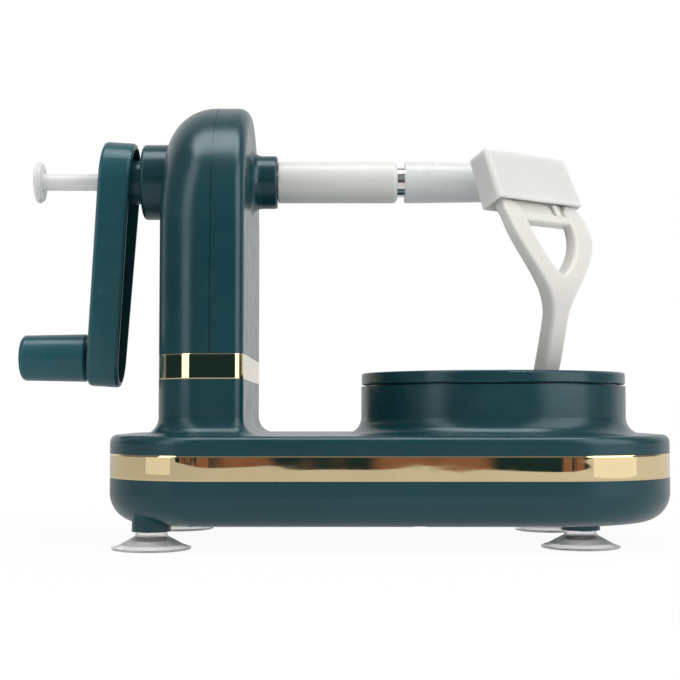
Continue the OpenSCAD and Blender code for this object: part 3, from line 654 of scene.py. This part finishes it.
ROD_WHITE = replace(
    IVORY,
    name="rod_white",
    color=(0.8, 0.8, 0.795),
    swing=0.03,
    relief=0.006 * MM,
    glow=0.2,
    glow_depth=2 * MM,
)


class Wardrobe:
    """Keeps one material for each finish and puts it on nodes and pieces."""

    def __init__(self, nodes: dict[str, Piece]) -> None:
        """Remembers the frame's nodes.

        Args:
            nodes: CAD nodes by name.
        """
        self.nodes = nodes
        self.made: dict[str, Material] = {}

    def material(self, finish: Finish) -> Material:
        """Gives the material of a finish, made on first use."""
        if finish.name not in self.made:
            self.made[finish.name] = finish.make()
        return self.made[finish.name]

    def dress(self, finish: Finish, *names: str) -> None:
        """Puts a finish on CAD nodes.

        Args:
            finish: The finish.
            *names: Node names.
        """
        for name in names:
            slots = self.nodes[name].data.materials
            if not slots:
                slots.append(self.material(finish))
            for index in range(len(slots)):
                slots[index] = self.material(finish)
            LOG.info("node %s in %s", name, finish.name)


@dataclass
class BaseHousing:
    """Rounded base with its strip, cups and screws."""

    shells: tuple[str, ...] = ("base_upper_shell", "base_lower_shell")
    strip: str = "base_trim_band"
    cups: tuple[str, ...] = ("cup_front_left", "cup_front_right", "cup_back_left", "cup_back_right")
    screws: str = "base_screws"

    def dress(self, wardrobe: Wardrobe) -> None:
        """Puts the finishes on the base."""
        wardrobe.dress(TEAL, *self.shells)
        wardrobe.dress(GOLD_BAND, self.strip)
        wardrobe.dress(VINYL, *self.cups)
        wardrobe.dress(STEEL, self.screws)


@dataclass
class ColumnHousing:
    """Slab column with its strip, screws and bushes."""

    shells: tuple[str, ...] = ("column_left_shell", "column_right_shell")
    strip: str = "column_trim_ring"
    screws: str = "column_screws"
    bushes: tuple[str, ...] = ("crank_bush", "fork_bush")

    def dress(self, wardrobe: Wardrobe) -> None:
        """Puts the finishes on the column."""
        wardrobe.dress(TEAL, *self.shells)
        wardrobe.dress(GOLD_RING, self.strip)
        wardrobe.dress(STEEL, self.screws)
        wardrobe.dress(ACETAL, *self.bushes)


@dataclass
class CrankHandle:
    """Crank arm with its grip and shaft, and the push rod through them."""

    handled: tuple[str, ...] = ("crank_arm", "grip")
    steels: tuple[str, ...] = ("grip_axle", "shaft_clip", "main_shaft")
    rods: tuple[str, ...] = ("ejector_rod", "ejector_button")

    def dress(self, wardrobe: Wardrobe) -> None:
        """Puts the finishes on the crank."""
        wardrobe.dress(TEAL_WORN, *self.handled)
        wardrobe.dress(STEEL, *self.steels)
        wardrobe.dress(ROD_WHITE, *self.rods)


@dataclass
class FruitFork:
    """Sleeve, chrome fork and its push-on cover."""

    sleeve: str = "fruit_sleeve"
    fork: str = "fork"
    cover: str = "fork_cover"

    def dress(self, wardrobe: Wardrobe) -> None:
        """Puts the finishes on the fork."""
        wardrobe.dress(IVORY, self.sleeve)
        wardrobe.dress(CHROME, self.fork)
        wardrobe.dress(COOL_WHITE, self.cover)


@dataclass
class DriveTrain:
    """Worm, gears and their shafts inside the housing."""

    gears: tuple[str, ...] = ("worm", "worm_wheel", "drive_pinion", "idler_gear", "turntable_gear")
    steels: tuple[str, ...] = ("lay_shaft", "idler_pin", "gear_clip")

    def dress(self, wardrobe: Wardrobe) -> None:
        """Puts the finishes on the gears."""
        wardrobe.dress(ACETAL, *self.gears)
        wardrobe.dress(STEEL, *self.steels)


@dataclass(frozen=True)
class TorsionSpring:
    """Round-wire torsion spring beside the arm's hinge, with a leg on the arm and one on the tray.

    Attributes:
        name: Name of the piece.
        node: CAD node that it replaces.
        hinge: Joint that it sits on.
        wire: Half the thickness of the wire.
        coil: Radius of the coils.
        pitch: Step of one coil along the hinge.
        turns: Number of coils.
        start: Distance along the hinge at which the coils begin.
        tray_gap: Step from the last coil to the tray's leg.
        sides: Corners round the wire.
        steps: Control points in one coil.
    """

    name: str = "arm_spring_wire"
    node: str = "arm_spring"
    hinge: str = "arm_swing"
    wire: float = 0.45 * MM
    coil: float = 3.0 * MM
    pitch: float = 1.4 * MM
    turns: float = 2.75
    start: float = 5.7 * MM
    tray_gap: float = 0.2 * MM
    sides: int = 14
    steps: int = 20

    @property
    def end(self) -> float:
        """Distance along the hinge at which the coils end."""
        return self.start + self.pitch * self.turns

    def route(self) -> list[Point]:
        """Gives the wire's bends as distances along the hinge, outward from it and up.

        Returns:
            Control points from the arm's leg to the tray's leg.
        """
        arm_leg = [
            (2.0 * MM, 6.43 * MM, 6.4 * MM),
            (5.5 * MM, 6.11 * MM, 4.9 * MM),
            (self.start, 4.4 * MM, 2.2 * MM),
        ]
        coils = []
        for k in range(round(self.turns * self.steps) + 1):
            turn = 2.0 * math.pi * k / self.steps
            along = self.start + self.pitch * k / self.steps
            coils.append((along, self.coil * math.cos(turn), -self.coil * math.sin(turn)))
        drop = self.end + self.tray_gap
        tray_leg = [
            (drop, 4.2 * MM, 3.4 * MM),
            (drop, 7.2 * MM, -2.6 * MM),
            (drop, 8.4 * MM, -4.7 * MM),
        ]
        return arm_leg + coils + tray_leg

    def build(self, joint: dict) -> Piece:
        """Sweeps the round wire along its smoothed route.

        Args:
            joint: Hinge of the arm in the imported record.

        Returns:
            The spring.
        """
        axis, foot = Vector(joint["axis"]).normalized(), Vector(joint["pos_m"])
        out = axis.cross(Vector((0.0, 0.0, 1.0)))
        path = [
            foot + axis * a + out * o + Vector((0.0, 0.0, u)) for a, o, u in self._smooth(self.route())
        ]
        form = bmesh.new()
        rings = self._rings(form, path)
        for near, far in zip(rings, rings[1:]):
            for k in range(self.sides):
                n = (k + 1) % self.sides
                form.faces.new((near[k], near[n], far[n], far[k])).smooth = True
        form.faces.new(list(reversed(rings[0])))
        form.faces.new(rings[-1])
        spring = add_form(self.name, form)
        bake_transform(spring)
        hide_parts(self.node)
        return spring

    def _rings(self, form: Form, path: list[Vector]) -> list[list[bmesh.types.BMVert]]:
        """Sets a ring of corners round each point of the wire, without twist.

        Args:
            form: Form that takes the corners.
            path: Points along the middle of the wire.

        Returns:
            The rings in order.
        """
        angles = [2.0 * math.pi * k / self.sides for k in range(self.sides)]
        rings = []
        side = (path[1] - path[0]).orthogonal().normalized()
        for i, point in enumerate(path):
            ahead = (path[min(i + 1, len(path) - 1)] - path[max(i - 1, 0)]).normalized()
            side = (side - ahead * side.dot(ahead)).normalized()
            lift = ahead.cross(side)
            spokes = [side * math.cos(a) + lift * math.sin(a) for a in angles]
            rings.append([form.verts.new(point + spoke * self.wire) for spoke in spokes])
        return rings

    @classmethod
    def _smooth(cls, points: list[Point], parts: int = 4) -> list[Point]:
        """Runs a smooth curve through points.

        Args:
            points: Points to pass.
            parts: Steps between two of them.

        Returns:
            The points of the curve.
        """
        curve = []
        for i in range(len(points) - 1):
            a, b = points[max(i - 1, 0)], points[i]
            c, d = points[i + 1], points[min(i + 2, len(points) - 1)]
            for k in range(parts):
                curve.append(tuple(cls._cubic(*values, k / parts) for values in zip(a, b, c, d)))
        return curve + [points[-1]]

    @staticmethod
    def _cubic(p: float, q: float, r: float, s: float, t: float) -> float:
        """Gives the value at share t between q and r, with p before them and s after them."""
        line = 2 * q + (r - p) * t
        bend = (2 * p - 5 * q + 4 * r - s) * t * t
        twist = (3 * q - p - 3 * r + s) * t ** 3
        return 0.5 * (line + bend + twist)


@dataclass
class PeelTable:
    """Turntable with the sprung hinge of the arm."""

    joints: dict[str, dict]
    tray: str = "turntable"
    pin: str = "hinge_pin"
    spring: TorsionSpring = TorsionSpring()

    def dress(self, wardrobe: Wardrobe) -> None:
        """Puts the finishes on the turntable and makes the spring on the arm's hinge."""
        wardrobe.dress(TEAL, self.tray)
        wardrobe.dress(STEEL, self.pin, self.spring.node)
        wire = self.spring.build(self.joints[self.spring.hinge])
        wire.data.materials.append(wardrobe.material(STEEL))


@dataclass(frozen=True)
class SkewFrame:
    """Corner and three directions along which blocks are set out."""

    corner: Vector
    across: Vector
    rise: Vector
    front: Vector

    def point(self, a: float, b: float, c: float) -> Vector:
        """Gives the point at the given steps along the three directions."""
        return self.corner + self.across * a + self.rise * b + self.front * c

    def block(self, form: Form, wide: Span, tall: Span, deep: Span) -> None:
        """Adds one block.

        Args:
            form: Form that takes the block.
            wide: Its ends across.
            tall: Its ends along the rise.
            deep: Its ends to the front.
        """
        ends = (0, 1)
        corners = {
            (i, j, k): form.verts.new(self.point(wide[i], tall[j], deep[k]))
            for i in ends for j in ends for k in ends
        }
        loop = ((0, 0), (0, 1), (1, 1), (1, 0))
        for axis in range(3):
            for end in ends:
                form.faces.new([corners[(*p[:axis], end, *p[axis:])] for p in loop])


@dataclass(frozen=True)
class ArmWeb:
    """Thin recessed web between the prongs, with the rib that shows under the guard.

    Attributes:
        name: Name of the piece.
        pivot: Joint at the blade's pins, from which the web is set out.
        slide: Joint of the guard, which gives the way up.
        half: Half the width of the web.
        foot: Lower edge, inward and up from the pivot.
        head: Upper edge, inward and up from the pivot.
        thick: Thickness of the web.
        rib: Ends of the rib across.
        rib_span: Ends of the rib as shares of the web's height.
        rib_rise: How far the rib stands out.
        edge: Round of the edges.
        edge_steps: Facets of that round.
    """

    name: str = "arm_web"
    pivot: str = "blade_swivel"
    slide: str = "guard_pull"
    half: float = 13.6 * MM
    foot: Span = (-3.4 * MM, -20.0 * MM)
    head: Span = (-1.5 * MM, -11.2 * MM)
    thick: float = 1.4 * MM
    rib: Span = (7.2 * MM, 9.2 * MM)
    rib_span: Span = (0.2, 0.8)
    rib_rise: float = 1.7 * MM
    edge: float = 0.25 * MM
    edge_steps: int = 2

    def build(self, joints: dict[str, dict]) -> Piece:
        """Makes the web in the frame of the arm's head.

        Args:
            joints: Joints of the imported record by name.

        Returns:
            The web, riding on the arm.
        """
        origin = Vector(joints[self.pivot]["pos_m"])
        across = facing(Vector(joints[self.pivot]["axis"]).normalized(), Vector((1.0, 0.0, 0.0)))
        up = facing(Vector(joints[self.slide]["axis"]).normalized(), Vector((0.0, 0.0, 1.0)))
        inward = up.cross(across)
        low = origin + inward * self.foot[0] + up * self.foot[1]
        rise = origin + inward * self.head[0] + up * self.head[1] - low
        front = facing(across.cross(rise).normalized(), -inward)
        sides = SkewFrame(low, across, rise, front)
        form = bmesh.new()
        skin = self.thick / 2.0
        sides.block(form, (-self.half, self.half), (0.0, 1.0), (-skin, skin))
        sides.block(form, self.rib, self.rib_span, (0.0, skin + self.rib_rise))
        bmesh.ops.recalc_face_normals(form, faces=form.faces)
        edges = list(form.edges)
        bmesh.ops.bevel(form, geom=edges, offset=self.edge, segments=self.edge_steps, affect="EDGES")
        web = add_form(self.name, form)
        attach(web, Body.ARM.value)
        return web


@dataclass
class BladeArm:
    """Y-shaped arm with its blade, guard and web."""

    joints: dict[str, dict]
    arm: str = "blade_arm"
    guard: str = "blade_guard"
    steels: tuple[str, ...] = ("blade", "blade_pins")
    web: ArmWeb = ArmWeb()

    def dress(self, wardrobe: Wardrobe) -> None:
        """Puts the finishes on the arm and makes its web."""
        wardrobe.dress(ARM_WHITE, self.arm)
        wardrobe.dress(GUARD_WHITE, self.guard)
        wardrobe.dress(STEEL, *self.steels)
        web = self.web.build(self.joints)
        # The web wears the lighter copy of the arm's white, a painted glow of light through the plastic.
        web.data.materials.append(wardrobe.material(ARM_WHITE_PAINTED_GLOW))


@dataclass(frozen=True)
class Softbox:
    """One soft lamp of the studio.

    Attributes:
        name: Name of the lamp.
        place: Where it hangs.
        target: Point that it faces.
        size: Its width and height.
        power: Its power in watts.
        mirrored: Whether reflections show it.
    """

    name: str
    place: Point
    target: Point
    size: Span
    power: float
    mirrored: bool = True

    def hang(self) -> None:
        """Makes the lamp and aims it."""
        data = bpy.data.lights.new(self.name, "AREA")
        data.shape = "RECTANGLE"
        data.size, data.size_y = self.size
        data.energy = self.power
        lamp = add_object(self.name, data)
        lamp.location = self.place
        lamp.rotation_mode = "QUATERNION"
        lamp.rotation_quaternion = (Vector(self.target) - Vector(self.place)).to_track_quat("-Z", "Y")
        lamp.visible_camera = False
        lamp.visible_glossy = self.mirrored


@dataclass(frozen=True)
class WhiteFloor:
    """White sheet under the object, with a bay in front where the dark room begins.

    Attributes:
        name: Name of the sheet.
        reach: How far the sheet runs from the middle.
        bay_front: Where the bay begins, along Y.
        bay_left: Left corner of the bay, along X.
        bay_right: Right corner of the bay, along X.
        bay_flare: How far the bay widens for each step forward.
        paint: Colour of the sheet where light falls on it.
        mirror_level: Brightness in reflections at its left and right.
        mirror_reach: Places of those two levels along X.
        shadow_share: Share of the shadow that shows near the object.
        shadow_reach: Distances over which the shadow is let go.
    """

    name: str = "studio_floor"
    reach: float = 6.0
    bay_front: float = -0.85
    bay_left: float = -0.73
    bay_right: float = 0.70
    bay_flare: float = 1.0
    paint: Rgb = (0.9, 0.9, 0.9)
    mirror_level: Span = (0.53, 0.7)
    mirror_reach: Span = (-0.5, 0.6)
    shadow_share: float = 0.05
    shadow_reach: Span = (0.17, 0.26)

    def lay(self) -> None:
        """Makes the sheet, which shows as white and keeps the object's shadow."""
        mesh = bpy.data.meshes.new(self.name)
        mesh.from_pydata(*self._outline())
        floor = add_object(self.name, mesh)
        mesh.materials.append(self._paint())

    def _outline(self) -> tuple[list[Point], list[tuple[int, int]], list[tuple[int, ...]]]:
        """Gives the points, no loose edges, and the faces of the sheet round its bay."""
        far, near = self.reach, self.bay_front
        run = (far + near) * self.bay_flare
        points = [
            (-far, near, 0.0),
            (self.bay_left, near, 0.0),
            (self.bay_right, near, 0.0),
            (far, near, 0.0),
            (far, far, 0.0),
            (-far, far, 0.0),
            (self.bay_left - run, -far, 0.0),
            (self.bay_right + run, -far, 0.0),
        ]
        return points, [], [(0, 1, 2, 3, 4, 5), (0, 6, 1), (2, 7, 3)]

    def _paint(self) -> Material:
        """Gives the white paint, which glows for rays that look at it and for reflections.

        Returns:
            The material of the sheet.
        """
        graph = ShaderGraph("studio_white")
        graph.tree.nodes.remove(graph.shader)
        paint = graph.add("ShaderNodeBsdfDiffuse")
        paint.inputs["Color"].default_value = (*self.paint, 1.0)
        glow = graph.add("ShaderNodeEmission")
        path = graph.add("ShaderNodeLightPath").outputs
        seen = graph.calc("MAXIMUM", path["Is Camera Ray"], path["Is Transmission Ray"])
        sides = graph.add("ShaderNodeSeparateXYZ")
        graph.link(graph.place, sides.inputs["Vector"])
        mirrored = graph.spread(sides.outputs["X"], *self.mirror_reach, *self.mirror_level)
        level = graph.calc("MAXIMUM", mirrored, seen)
        graph.link(level, glow.inputs["Strength"])
        distance = graph.add("ShaderNodeVectorMath")
        distance.operation = "LENGTH"
        graph.link(graph.place, distance.inputs[0])
        share = graph.spread(distance.outputs["Value"], *self.shadow_reach, 1.0 - self.shadow_share)
        looked = graph.calc("MULTIPLY", graph.calc("MAXIMUM", seen, path["Is Glossy Ray"]), share)
        mix = graph.add("ShaderNodeMixShader")
        graph.link(looked, mix.inputs["Fac"])
        graph.link(paint.outputs["BSDF"], mix.inputs[1])
        graph.link(glow.outputs["Emission"], mix.inputs[2])
        graph.link(mix.outputs["Shader"], graph.output.inputs["Surface"])
        return graph.material


@dataclass(frozen=True)
class Room:
    """Surroundings: a white sweep behind the object, pale walls above and a dim room in front.

    Attributes:
        sweep: Directions along Y between which the room turns into the sweep.
        rise: Directions along Z between which the dim room turns pale.
        horizon: Directions along Z between which the brown patches end.
        pale: Colour of the walls above.
        white: Colour of the sweep.
        dim: Colour of the dim room.
        brown: Colour of the patches below the horizon.
        patch: Feature size of the patches.
        patch_edge: Noise levels between which a patch fades in.
    """

    sweep: Span = (0.3, 0.7)
    rise: Span = (0.08, 0.22)
    horizon: Span = (-0.02, 0.0)
    pale: Rgb = (0.2, 0.21, 0.21)
    white: Rgb = (0.75, 0.75, 0.75)
    dim: Rgb = (0.012, 0.032, 0.042)
    brown: Rgb = (0.25, 0.125, 0.08)
    patch: float = 0.07
    patch_edge: Span = (0.4, 0.58)

    def surround(self) -> None:
        """Builds the world, white for the camera and dim in front for everything else."""
        world = bpy.data.worlds.new("studio_world")
        bpy.context.scene.world = world
        world.use_nodes = True
        graph = NodeGraph(world.node_tree)
        output = graph.add("ShaderNodeOutputWorld")
        back = graph.add("ShaderNodeBackground")
        aim = graph.add("ShaderNodeTexCoord").outputs["Generated"]
        axes = graph.add("ShaderNodeSeparateXYZ")
        graph.link(aim, axes.inputs["Vector"])
        noise = graph.add("ShaderNodeTexNoise")
        noise.inputs["Scale"].default_value = 1.0 / self.patch
        graph.link(aim, noise.inputs["Vector"])
        side, height = axes.outputs["Y"], axes.outputs["Z"]
        patches = graph.mix(graph.spread(noise.outputs["Fac"], *self.patch_edge), self.dim, self.brown)
        low = graph.mix(graph.spread(height, *self.horizon), patches, self.dim)
        room = graph.mix(graph.spread(height, *self.rise), low, self.pale)
        lit = graph.mix(graph.spread(side, *self.sweep), room, self.white)
        camera = graph.add("ShaderNodeLightPath").outputs["Is Camera Ray"]
        graph.link(graph.mix(camera, lit, WHITE), back.inputs["Color"])
        graph.link(back.outputs["Background"], output.inputs["Surface"])


@dataclass
class Studio:
    """White floor, soft light and the photograph's camera.

    Attributes:
        camera_place: Where the camera stands.
        camera_pitch: How far it looks up, in degrees.
        camera_near: Nearest distance that it shows.
        focal_px: Focal length in pixels of the photograph.
        image_px: Width of the photograph in pixels.
        sensor: Width of the sensor in millimetres.
        floor: The floor.
        room: The surroundings.
        lamps: The lamps.
    """

    camera_place: Point = (0.0003, -0.582, 0.0536)
    camera_pitch: float = 3.035
    camera_near: float = 0.02
    focal_px: float = 1358.0
    image_px: float = 680.0
    sensor: float = 36.0
    floor: WhiteFloor = WhiteFloor()
    room: Room = Room()
    lamps: tuple[Softbox, ...] = (
        Softbox("top_softbox", (0.0, -0.1, 0.95), (0.0, -0.05, 0.1), (1.0, 0.38), 5.15),
        Softbox("left_softbox", (-0.569, -0.458, 0.49), (-0.06, -0.053, 0.25), (0.25, 0.9), 1.3),
        Softbox("right_softbox", (0.66, -0.42, 0.49), (-0.03, -0.05, 0.25), (0.66, 0.9), 3.9),
        Softbox("left_floor_glow", (-0.577, -0.34, 0.021), (-0.07, -0.062, 0.021), (0.322, 0.04), 0.012),
        Softbox("right_floor_glow", (0.588, -0.331, 0.021), (0.105, -0.061, 0.021), (0.483, 0.04), 0.018),
        Softbox("front_fill", (0.0, -0.95, 0.04), (0.0, -0.05, 0.12), (0.9, 0.16), 1.05, mirrored=False),
    )

    def build(self) -> None:
        """Makes the floor, the world, the lamps and the camera."""
        self.floor.lay()
        self.room.surround()
        for lamp in self.lamps:
            lamp.hang()
        self._camera()
        bpy.context.scene.view_settings.view_transform = "Standard"

    def _camera(self) -> None:
        """Places the camera as the photograph was taken."""
        data = bpy.data.cameras.new("photo_camera")
        data.sensor_width = self.sensor
        data.lens = self.focal_px / self.image_px * self.sensor
        data.clip_start = self.camera_near
        camera = add_object("photo_camera", data)
        camera.location = self.camera_place
        camera.rotation_euler = (math.radians(90.0 + self.camera_pitch), 0.0, 0.0)
        bpy.context.scene.camera = camera


def main() -> None:
    """Builds every sub-assembly in order, then the studio round them."""
    logging.basicConfig(level=logging.INFO, format="%(name)s: %(message)s")
    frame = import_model()
    wardrobe = Wardrobe(frame["nodes"])
    joints = {joint["name"]: joint for joint in frame["record"]["behaviour"]["joints"]}
    assemblies = (
        BaseHousing(),
        ColumnHousing(),
        CrankHandle(),
        FruitFork(),
        DriveTrain(),
        PeelTable(joints),
        BladeArm(joints),
    )
    for assembly in assemblies:
        assembly.dress(wardrobe)
    Studio().build()


if __name__ == "__main__":
    main()
